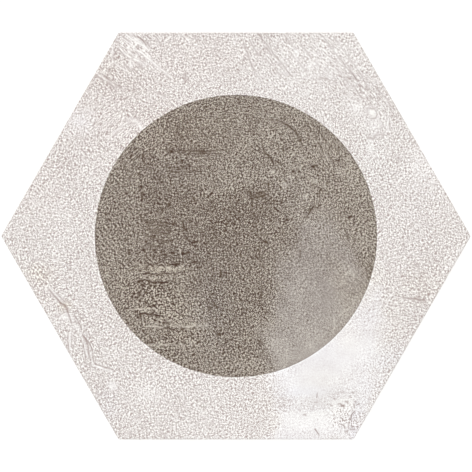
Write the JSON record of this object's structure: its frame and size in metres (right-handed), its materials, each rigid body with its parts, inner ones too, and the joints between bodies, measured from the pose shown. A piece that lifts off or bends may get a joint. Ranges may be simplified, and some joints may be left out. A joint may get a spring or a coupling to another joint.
{
  "type": "hexagonal floor tile",
  "caption": "Flat hexagonal porcelain floor tile with a printed disc on a cement-look face, a rounded arris, drafted sides and a waffle back for adhesive.",
  "frame": {"origin": "middle of the back, on the plane of the rib crests that the tile rests on", "axes": "+Z out of the glazed face, +X towards a corner, +Y square to a flat; the tile lies face up"},
  "size_m": [0.2496, 0.2166, 0.009],
  "materials": {
    "porcelain": "matte"
  },
  "bodies": {
    "root": {"hexagon_tile": "porcelain"}
  },
  "joints": []
}
